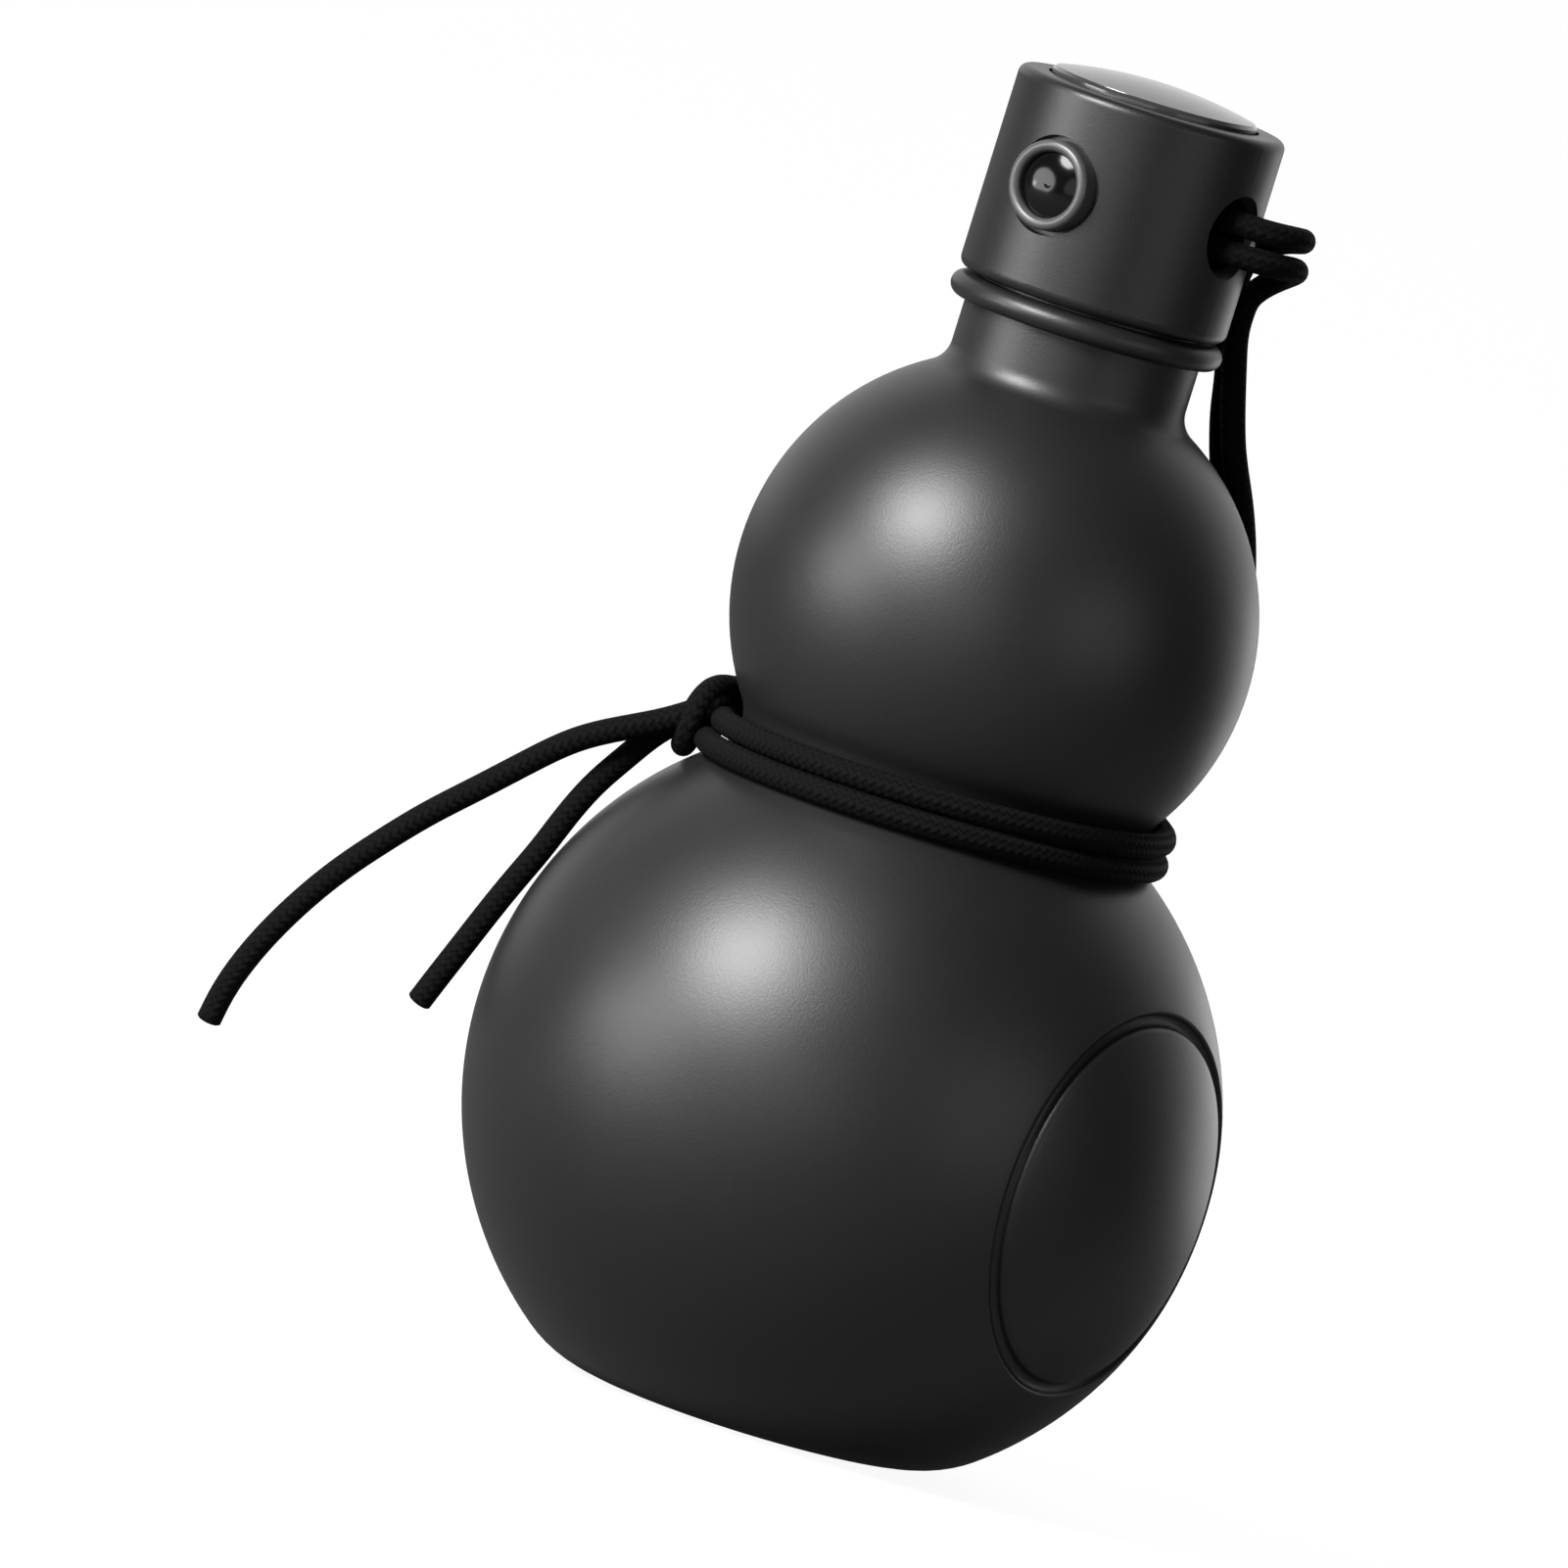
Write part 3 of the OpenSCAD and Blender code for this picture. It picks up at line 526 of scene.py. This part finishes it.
def body_surface():
    """The revolved grid, with cells left out in a block round the recess, and the patch. A patch
    point is middle + r * (cos p * axis + sin p * (cos q * beside + sin q * up)). Its angle q stays the
    one of the border point where its row begins, and its angle p runs from there to zero."""
    profile, low, high = body_profile()
    turn = np.radians(RECESS_TURN + 360 * np.arange(SEGMENTS) / SEGMENTS - 180)
    grid = np.stack([profile[:, :1] * np.cos(turn), profile[:, :1] * np.sin(turn),
                     profile[:, 1:] + 0 * turn], axis=-1)
    lift = np.degrees(np.arctan2(profile[low:high, 1] - LOWER_Z, profile[low:high, 0]))
    bottom = low + np.argmin(np.abs(lift + BLOCK_LIFT))
    top = low + np.argmin(np.abs(lift - BLOCK_LIFT))
    first, last = SEGMENTS // 2 - BLOCK, SEGMENTS // 2 + BLOCK
    keep = np.ones((len(profile) - 1, SEGMENTS), bool)
    keep[bottom:top, first:last] = False
    border = np.concatenate([grid[bottom:top, last], grid[top, last:first:-1],
                             grid[top:bottom:-1, first], grid[bottom, first:last]])
    axis = np.array([np.cos(np.radians(RECESS_TURN)), np.sin(np.radians(RECESS_TURN)), 0])
    beside = np.array([-axis[1], axis[0], 0])
    reach = (border - [0, 0, LOWER_Z]) / LOWER_R
    p_border = np.arccos(reach @ axis)
    q = np.arctan2(reach[:, 2], reach @ beside)
    p, r = recess_profile()
    share = np.linspace(0, 1, 9)[:-1, None]
    p = np.concatenate([p_border * (1 - share) + p[0] * share, p[:, None] + 0 * q])
    r = np.concatenate([np.full(len(share), LOWER_R), r])[:, None, None]
    around_axis = np.cos(q)[:, None] * beside + np.sin(q)[:, None] * np.array([0, 0, 1])
    patch = [0, 0, LOWER_Z] + r * (np.cos(p)[..., None] * axis + np.sin(p)[..., None] * around_axis)
    return grid, keep, patch


grid, keep, patch = body_surface()
body_skin = finished("body_skin", grid_mesh("skin", grid, keep=keep), more=[grid_mesh("patch", patch)])
body_skin.data.set_sharp_from_angle(angle=float(np.radians(40)))
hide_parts("bottle_body")
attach(body_skin, "bottle")
print("body skin:", len(body_skin.data.polygons), "faces, open edges:", open_edges(body_skin.data))

# %% [markdown]
# ## The spring
#
# The button's return spring is a coil of thin steel wire round the shaft. It is a tube along the
# helix (R cos a, y0 + length * share, R sin a), with many more rings than the solid model needs.

# %% Spring
spring_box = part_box("button_spring")
SPRING_WIRE_R, SPRING_R, SPRING_TURNS = 0.25, 2.85, 6
y0, y1 = spring_box[0].y / MM + SPRING_WIRE_R, spring_box[1].y / MM - SPRING_WIRE_R
share = np.linspace(0, 1, SPRING_TURNS * 40 + 1)
coil_angle = 2 * np.pi * SPRING_TURNS * share
coil = np.stack([SPRING_R * np.cos(coil_angle), y0 + (y1 - y0) * share,
                 LOCK_Z + SPRING_R * np.sin(coil_angle)], axis=1)
spring = tube("spring_wire", coil, SPRING_WIRE_R, sides=10, cut_start=True, cut_end=True)
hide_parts("button_spring")
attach(spring, "cap")
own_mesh(spring)
print("spring", round(y1 - y0, 2), "mm long")

# %% [markdown]
# ## The screw threads
#
# The stopper screws into the neck with three starts of 12 mm lead. Each start is a ridge whose
# height fades out at both ends, like a moulded thread. A ridge is a grid: along the helix, and
# across a rounded profile that stands on the stem.

# %% Threads
STEM_R, STEM_FOOT, STEM_TOP = 11.2, 130.51, 140.2
BORE_LOW, BORE_TOP = 131.2, 138.9
LEAD_MM, STARTS = 12.0, 3
RIDGE_MM, RIDGE_WIDTH, ROOT_MM = 0.3, 1.5, 0.15


def thread(name, radius, z0, z1, height, width, phase):
    """Ridges on a cylinder. Along the ridge, angle = phase + 360 * (z - z0) / lead. Across it the
    height is h * cos(pi * w / 2)^1.5 at the share w of its half width, times a fade at both ends.
    Its root is sunk into the wall, and a negative height makes a ridge that points inwards."""
    t = np.linspace(0, 1, 90)
    w = np.linspace(-1, 1, 9)
    fade = np.clip(np.minimum(t, 1 - t) / 0.1, 0, 1) ** 0.5
    rise = height * fade[:, None] * np.cos(np.pi * w / 2)[None] ** 1.5
    z = z0 + (z1 - z0) * t[:, None] + w[None] * width / 2
    angle = np.radians(phase) + 2 * np.pi * (z1 - z0) * t[:, None] / LEAD_MM
    sunk = ROOT_MM * np.sign(height)
    r = radius - sunk + rise + sunk * (rise != 0)
    base_r = radius - sunk + 0 * r
    pieces = []
    for start in range(STARTS):
        a = angle + 2 * np.pi * start / STARTS + 0 * w[None]
        top = np.stack([r * np.sin(a), -r * np.cos(a), z], axis=-1)
        base = np.stack([base_r * np.sin(a), -base_r * np.cos(a), z], axis=-1)
        ridge = grid_mesh(name + str(start), np.concatenate([top, base[:, ::-1]], axis=1))
        pieces.append(finished(name + "_" + str(start + 1), ridge))
    return pieces


stem_threads = thread("stem_thread", STEM_R, STEM_FOOT + 1.4, STEM_TOP - 1.6, RIDGE_MM, RIDGE_WIDTH, 0)
neck_threads = thread("neck_thread", BORE, BORE_LOW + 0.8, BORE_TOP - 0.8, -RIDGE_MM, RIDGE_WIDTH, 75)
for ridge in stem_threads:
    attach(ridge, "cap")
for ridge in neck_threads:
    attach(ridge, "bottle")
print(len(stem_threads) + len(neck_threads), "thread ridges")

# %% [markdown]
# ## Shared effects
#
# Two effects serve several materials. Moulded grain is a fine even texture with faint broad
# unevenness, and braid is the over and under of two families of strands that wind round a cord in
# opposite directions. Each is a group with named inputs, so every material sets its own values.

# %% Node helpers
def new_group(name, inputs, outputs):
    """A node group with named sockets. inputs are (name, kind, value) and outputs (name, kind)."""
    group = bpy.data.node_groups.new(name, "ShaderNodeTree")
    for label, kind, value in inputs:
        socket = group.interface.new_socket(label, in_out="INPUT", socket_type=kind)
        if value is not None:
            socket.default_value = value
    for label, kind in outputs:
        group.interface.new_socket(label, in_out="OUTPUT", socket_type=kind)
    return group, group.nodes.new("NodeGroupInput"), group.nodes.new("NodeGroupOutput")


def math_node(tree, operation, *values):
    """The output of a new Math node, whose inputs are numbers or sockets."""
    node = tree.nodes.new("ShaderNodeMath")
    node.operation = operation
    for socket, value in zip(node.inputs, values):
        if isinstance(value, (int, float)):
            socket.default_value = value
        else:
            tree.links.new(value, socket)
    return node.outputs[0]


# %% Moulded grain
def moulded_grain_group():
    """Height from fine noise, and a mask of faint broad patches from coarse noise."""
    group, given, out = new_group("moulded_grain", [
        ("Vector", "NodeSocketVector", None), ("Grain Scale", "NodeSocketFloat", 3500.0),
        ("Patch Scale", "NodeSocketFloat", 45.0)],
        [("Height", "NodeSocketFloat"), ("Patches", "NodeSocketFloat")])
    fine = group.nodes.new("ShaderNodeTexNoise")
    fine.inputs["Detail"].default_value = 3.0
    fine.inputs["Roughness"].default_value = 0.6
    broad = group.nodes.new("ShaderNodeTexNoise")
    broad.inputs["Detail"].default_value = 4.0
    group.links.new(given.outputs["Vector"], fine.inputs["Vector"])
    group.links.new(given.outputs["Grain Scale"], fine.inputs["Scale"])
    group.links.new(given.outputs["Vector"], broad.inputs["Vector"])
    group.links.new(given.outputs["Patch Scale"], broad.inputs["Scale"])
    group.links.new(fine.outputs["Fac"], out.inputs["Height"])
    group.links.new(broad.outputs["Fac"], out.inputs["Patches"])
    return group


# %% Braid
def braid_group():
    """Height of a braid from the cord's UV map. With U in mm and V in turns, the strands of the two
    families are a = N*V + U/p and b = N*V - U/p. Each strand is rounded as |sin(pi*a)|, and the
    family that lies on top changes from one cell of the net to the next."""
    group, given, out = new_group("braid", [
        ("Vector", "NodeSocketVector", None), ("Strands", "NodeSocketFloat", 8.0),
        ("Pitch", "NodeSocketFloat", 1.1)], [("Height", "NodeSocketFloat"), ("Gap", "NodeSocketFloat")])
    split = group.nodes.new("ShaderNodeSeparateXYZ")
    group.links.new(given.outputs["Vector"], split.inputs[0])
    turns = math_node(group, "MULTIPLY", split.outputs[1], given.outputs["Strands"])
    steps = math_node(group, "DIVIDE", split.outputs[0], given.outputs["Pitch"])
    a = math_node(group, "ADD", turns, steps)
    b = math_node(group, "SUBTRACT", turns, steps)
    half_turns = [math_node(group, "MULTIPLY", strand, float(np.pi)) for strand in (a, b)]
    round_a, round_b = [math_node(group, "ABSOLUTE", math_node(group, "SINE", t)) for t in half_turns]
    cells = math_node(group, "ADD", math_node(group, "FLOOR", a), math_node(group, "FLOOR", b))
    over = math_node(group, "FLOORED_MODULO", cells, 2.0)
    top = math_node(group, "MULTIPLY", round_a, over)
    under = math_node(group, "MULTIPLY", round_b, math_node(group, "SUBTRACT", 1.0, over))
    height = math_node(group, "ADD", top, under)
    low = math_node(group, "MINIMUM", round_a, round_b)
    group.links.new(height, out.inputs["Height"])
    group.links.new(low, out.inputs["Gap"])
    return group


moulded_grain = moulded_grain_group()
braid = braid_group()
print("groups:", moulded_grain.name, braid.name)

# %% [markdown]
# ## Finishes
#
# Body and cap are satin black plastic, the button's dome and the top disc are polished, the cord is
# matt braided polyester, the seal is pale silicone, and spring, clip and clamp ring are bright steel.

# %% Plastics
def new_material(name):
    """A material with its Principled shader, its tree and a Texture Coordinate node."""
    material = bpy.data.materials.new(name)
    material.use_nodes = True
    tree = material.node_tree
    return material, tree, tree.nodes["Principled BSDF"], tree.nodes.new("ShaderNodeTexCoord")


def plastic(name, colour, roughness, spread, grain, depth, specular=0.5, coat=0.0):
    """Moulded plastic. Roughness runs from roughness - spread to roughness + spread over faint
    patches, and the grain's height gives a bump of the stated depth in metres."""
    material, tree, shader, place = new_material(name)
    effect = tree.nodes.new("ShaderNodeGroup")
    effect.node_tree = moulded_grain
    effect.inputs["Grain Scale"].default_value = grain
    tree.links.new(place.outputs["Object"], effect.inputs["Vector"])
    rough = tree.nodes.new("ShaderNodeMapRange")
    rough.inputs["From Min"].default_value = 0.3
    rough.inputs["From Max"].default_value = 0.7
    rough.inputs["To Min"].default_value = roughness - spread
    rough.inputs["To Max"].default_value = roughness + spread
    tree.links.new(effect.outputs["Patches"], rough.inputs["Value"])
    tree.links.new(rough.outputs[0], shader.inputs["Roughness"])
    tint = tree.nodes.new("ShaderNodeMix")
    tint.data_type = "RGBA"
    tint.inputs["A"].default_value = (*[c * 0.85 for c in colour], 1)
    tint.inputs["B"].default_value = (*[c * 1.15 for c in colour], 1)
    tree.links.new(effect.outputs["Patches"], tint.inputs["Factor"])
    tree.links.new(tint.outputs["Result"], shader.inputs["Base Color"])
    bump = tree.nodes.new("ShaderNodeBump")
    bump.inputs["Strength"].default_value = 1.0
    bump.inputs["Distance"].default_value = depth
    tree.links.new(effect.outputs["Height"], bump.inputs["Height"])
    tree.links.new(bump.outputs["Normal"], shader.inputs["Normal"])
    shader.inputs["Specular IOR Level"].default_value = specular
    shader.inputs["Coat Weight"].default_value = coat
    return material


body_plastic = plastic("body_plastic", (0.007, 0.007, 0.0071), 0.42, 0.02, 3500, 0.00002)
cap_plastic = plastic("cap_plastic", (0.006, 0.006, 0.0061), 0.4, 0.02, 3800, 0.00002)
disc_plastic = plastic("disc_plastic", (0.03, 0.03, 0.031), 0.2, 0.02, 3000, 0.000004, coat=0.3)
bezel_plastic = plastic("bezel_plastic", (0.05, 0.05, 0.051), 0.34, 0.02, 3000, 0.000006)
button_plastic = plastic("button_plastic", (0.002, 0.002, 0.002), 0.1, 0.01, 2500, 0.000001, specular=0.2)
seal_rubber = plastic("seal_rubber", (0.55, 0.55, 0.53), 0.6, 0.04, 2500, 0.00001)


# %% Steel
def steel(name):
    """Bright drawn steel: metal whose roughness varies a little in fine noise."""
    material, tree, shader, place = new_material(name)
    effect = tree.nodes.new("ShaderNodeGroup")
    effect.node_tree = moulded_grain
    effect.inputs["Grain Scale"].default_value = 6000
    tree.links.new(place.outputs["Object"], effect.inputs["Vector"])
    rough = tree.nodes.new("ShaderNodeMapRange")
    rough.inputs["To Min"].default_value = 0.2
    rough.inputs["To Max"].default_value = 0.4
    tree.links.new(effect.outputs["Height"], rough.inputs["Value"])
    tree.links.new(rough.outputs[0], shader.inputs["Roughness"])
    shader.inputs["Base Color"].default_value = (0.6, 0.6, 0.61, 1)
    shader.inputs["Metallic"].default_value = 1.0
    return material


spring_steel = steel("spring_steel")


# %% Cord
def cord_material(name, colour):
    """Braided polyester: the braid's height as a bump and as painted shade, darker in the gaps between
    strands and lighter on their crests, and fuzz as fine noise."""
    material, tree, shader, place = new_material(name)
    weave = tree.nodes.new("ShaderNodeGroup")
    weave.node_tree = braid
    uv = tree.nodes.new("ShaderNodeUVMap")
    uv.uv_map = "along_and_around"
    tree.links.new(uv.outputs["UV"], weave.inputs["Vector"])
    fuzz = tree.nodes.new("ShaderNodeGroup")
    fuzz.node_tree = moulded_grain
    fuzz.inputs["Grain Scale"].default_value = 5200
    tree.links.new(place.outputs["Object"], fuzz.inputs["Vector"])
    # Painted shade: the braid's height darkens the colour in the gaps between strands and lightens the
    # crests.
    painted_gap_shade = tree.nodes.new("ShaderNodeMix")
    painted_gap_shade.data_type = "RGBA"
    painted_gap_shade.inputs["A"].default_value = (*[c * 0.45 for c in colour], 1)
    painted_gap_shade.inputs["B"].default_value = (*[c * 1.2 for c in colour], 1)
    tree.links.new(weave.outputs["Height"], painted_gap_shade.inputs["Factor"])
    tree.links.new(painted_gap_shade.outputs["Result"], shader.inputs["Base Color"])
    mixed = math_node(tree, "ADD", weave.outputs["Height"],
                      math_node(tree, "MULTIPLY", fuzz.outputs["Height"], 0.7))
    bump = tree.nodes.new("ShaderNodeBump")
    bump.inputs["Strength"].default_value = 1.0
    bump.inputs["Distance"].default_value = 0.00012
    tree.links.new(mixed, bump.inputs["Height"])
    tree.links.new(bump.outputs["Normal"], shader.inputs["Normal"])
    shader.inputs["Roughness"].default_value = 0.85
    shader.inputs["Specular IOR Level"].default_value = 0.1
    return material


cord_black = cord_material("cord", (0.0018, 0.0018, 0.0019))

# %% Give each piece its finish
finishes = {
    "cap_plastic": (cap_plastic, ["cap_shell", "cap_stopper", "lock_frame"]),
    "disc_plastic": (disc_plastic, ["top_disc"]),
    "bezel_plastic": (bezel_plastic, ["button_bezel"]),
    "button_plastic": (button_plastic, ["button"]),
    "seal_rubber": (seal_rubber, ["cap_seal"]),
    "spring_steel": (spring_steel, ["clamp_collar", "shaft_clip"]),
}
for material, nodes in finishes.values():
    for node in nodes:
        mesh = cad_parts[node].data
        mesh.materials.clear()
        mesh.materials.append(material)
own_pieces = {
    "cord": (cord_black, cord_pieces),
    "spring_steel": (spring_steel, [spring]),
    "cap_plastic": (cap_plastic, stem_threads),
    "body_plastic": (body_plastic, [body_skin] + neck_threads),
}
for slot, (material, made) in own_pieces.items():
    for piece in made:
        piece.data.materials.clear()
        piece.data.materials.append(material)
print({slot: len(nodes) for slot, (_, nodes) in finishes.items()})

# %% [markdown]
# ## Floor, backdrop and light
#
# The bottle stands on a pale floor under studio light. A large soft key lamp, in front on the
# upper left, gives the broad highlight on each ball. A low one at the left, with a small pin beside
# it, gives the glow on that side. Two wide fills in front keep the shadows open, and one behind on
# the right draws the thin rim. Floor and sky show white to the camera by their emission, and to
# everything else they are much darker.

# %% Floor
SEEN_WHITE, GLOSS_SHARE = 0.92, 0.04
FLOOR_HALF = 3.0


def white_where_seen(name, albedo):
    """A grey diffuse surface that gives white to the camera and a trace of it to reflections."""
    material = bpy.data.materials.new(name)
    material.use_nodes = True
    tree = material.node_tree
    shader = tree.nodes["Principled BSDF"]
    shader.inputs["Base Color"].default_value = (albedo, albedo, albedo, 1)
    shader.inputs["Roughness"].default_value = 0.9
    shader.inputs["Emission Color"].default_value = (1, 1, 1, 1)
    ray = tree.nodes.new("ShaderNodeLightPath")
    seen = math_node(tree, "MAXIMUM", ray.outputs["Is Camera Ray"], ray.outputs["Is Transmission Ray"])
    in_gloss = math_node(tree, "MULTIPLY", ray.outputs["Is Glossy Ray"], GLOSS_SHARE)
    shown = math_node(tree, "MAXIMUM", seen, in_gloss)
    tree.links.new(math_node(tree, "MULTIPLY", shown, SEEN_WHITE), shader.inputs["Emission Strength"])
    return material


floor_mesh = bpy.data.meshes.new("floor")
corners = [(-FLOOR_HALF, -FLOOR_HALF, 0), (FLOOR_HALF, -FLOOR_HALF, 0),
           (FLOOR_HALF, FLOOR_HALF, 0), (-FLOOR_HALF, FLOOR_HALF, 0)]
floor_mesh.from_pydata(corners, [], [(0, 1, 2, 3)])
floor_piece = bpy.data.objects.new("floor", floor_mesh)
bpy.context.scene.collection.objects.link(floor_piece)
floor_mesh.materials.append(white_where_seen("floor_paper", 0.12))
print("floor:", 2 * FLOOR_HALF, "m square")

# %% World
# The room is dim, and the backdrop behind the bottle is white. It fades in between two cosines.
ROOM, BACKDROP_FROM, BACKDROP_TO = 0.07, 0.35, 0.8
world = bpy.data.worlds.new("studio")
bpy.context.scene.world = world
world.use_nodes = True
sky = world.node_tree
background = sky.nodes["Background"]
background.inputs["Color"].default_value = (1, 1, 1, 1)
ray = sky.nodes.new("ShaderNodeLightPath")
seen = math_node(sky, "MAXIMUM", ray.outputs["Is Camera Ray"], ray.outputs["Is Transmission Ray"])
look = sky.nodes.new("ShaderNodeTexCoord")
behind = sky.nodes.new("ShaderNodeVectorMath")
behind.operation = "DOT_PRODUCT"
behind.inputs[1].default_value = (-float(np.sin(AZIMUTH)), float(np.cos(AZIMUTH)), 0.0)
sky.links.new(look.outputs["Generated"], behind.inputs[0])
paper = sky.nodes.new("ShaderNodeMapRange")
paper.interpolation_type = "SMOOTHSTEP"
paper.inputs["From Min"].default_value = BACKDROP_FROM
paper.inputs["From Max"].default_value = BACKDROP_TO
paper.inputs["To Min"].default_value = ROOM
paper.inputs["To Max"].default_value = 1.0
sky.links.new(behind.outputs["Value"], paper.inputs["Value"])
sky.links.new(math_node(sky, "MAXIMUM", seen, paper.outputs[0]), background.inputs["Strength"])
print("world:", world.name, "with", len(sky.nodes), "nodes")


# %% Lamps
LAMPS_AIM = np.array([0, 0, 0.075])


def lamp(name, direction, distance, size, power, size_y=None):
    """An area lamp in a direction given in the upright picture: right, up, towards the camera. It
    looks at the middle of the bottle. Distance and size are in metres, and power is in watts."""
    d = np.array(direction, float)
    d /= np.linalg.norm(d)
    place = LAMPS_AIM + distance * (d[0] * level_right + d[1] * level_up + d[2] * toward)
    data = bpy.data.lights.new(name, "AREA")
    data.shape = "ELLIPSE"
    data.size = size
    data.size_y = size_y or size
    data.energy = power
    item = bpy.data.objects.new(name, data)
    item.location = Vector(place)
    item.rotation_euler = Vector(place - LAMPS_AIM).to_track_quat("Z", "Y").to_euler()
    bpy.context.scene.collection.objects.link(item)
    return item


key = lamp("key", (-0.634, 0.504, 0.584), 0.9, 0.42, 18)
side = lamp("side", (-0.93, 0.02, 0.36), 0.8, 0.4, 3.0, 0.3)
pin = lamp("pin", (-0.985, -0.03, 0.18), 0.7, 0.05, 0.12)
fill = lamp("fill", (-0.35, -0.05, 0.93), 1.2, 1.0, 2.4, 0.7)
fill_right = lamp("fill_right", (0.7, 0.1, 0.7), 1.2, 0.9, 1.9)
rim = lamp("rim", (0.52, -0.05, -0.85), 0.4, 0.2, 0.2, 0.26)
bpy.context.scene.view_settings.view_transform = "Standard"
print("lamps:", [item.name for item in (key, side, pin, fill, fill_right, rim)])
